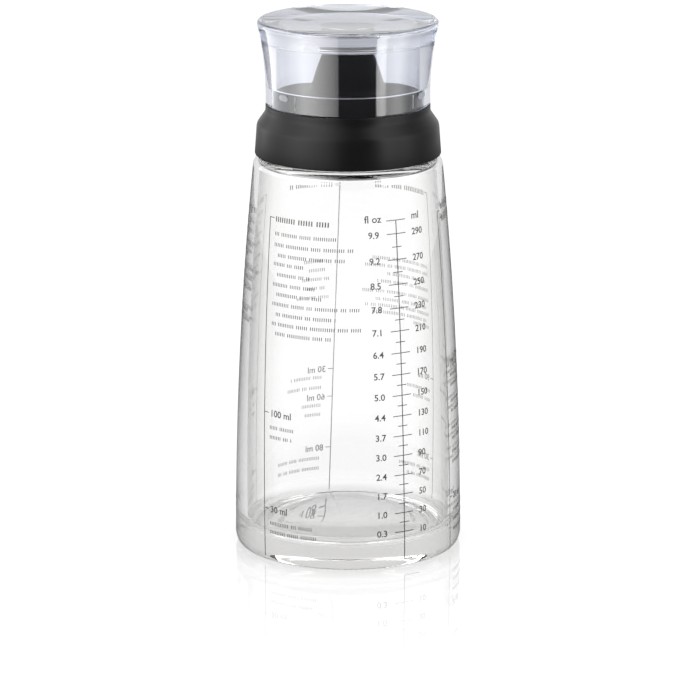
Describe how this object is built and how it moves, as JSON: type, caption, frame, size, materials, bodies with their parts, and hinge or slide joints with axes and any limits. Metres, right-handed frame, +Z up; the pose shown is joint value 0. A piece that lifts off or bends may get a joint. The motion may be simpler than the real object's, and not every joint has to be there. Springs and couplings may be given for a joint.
{
  "type": "salad dressing shaker bottle",
  "caption": "Conical clear glass shaker bottle with a black screw collar, a pouring spout and a clear flared cap that screws down over the spout.",
  "frame": {"origin": "middle of the ring that the bottle stands on", "axes": "+Z up along the bottle's axis, -Y towards the front, where the printed scale is just right of the middle"},
  "size_m": [0.072, 0.072, 0.1685],
  "materials": {
    "bottle_glass": "clear soda-lime glass, blown, with a grey screen print",
    "gasket_silicone": "soft grey silicone",
    "insert_plastic": "moulded black polypropylene, polished",
    "collar_plastic": "moulded black polypropylene, spark-eroded matt",
    "cap_plastic": "clear polished styrene acrylonitrile",
    "seal_silicone": "soft milky silicone"
  },
  "bodies": {
    "bottle": {"glass_bottle": "bottle_glass"},
    "gasket": {"neck_gasket": "gasket_silicone"},
    "collar": {"screw_collar": "collar_plastic", "pouring_insert": "insert_plastic"},
    "seal": {"spout_seal": "seal_silicone"},
    "cap": {"clear_cap": "cap_plastic"}
  },
  "joints": [
    {"name": "collar_lift", "type": "slide", "parent": "bottle", "child": "gasket", "axis": [0, 0, 1], "range_m": [0, 0.0161]},
    {"name": "collar_turn", "type": "hinge", "parent": "gasket", "child": "collar", "pos_m": [0, 0, 0.1262], "axis": [0, 0, 1], "range_deg": [0, 720]},
    {"name": "cap_lift", "type": "slide", "parent": "collar", "child": "seal", "axis": [0, 0, 1], "range_m": [0, 0.0241]},
    {"name": "cap_turn", "type": "hinge", "parent": "seal", "child": "cap", "pos_m": [0, 0, 0.1422], "axis": [0, 0, 1], "range_deg": [0, 720]}
  ],
  "couplings": [
    {"joint": "collar_lift", "follows": "collar_turn", "m_per_rad": 0.0012732},
    {"joint": "cap_lift", "follows": "cap_turn", "m_per_rad": 0.0019099}
  ]
}
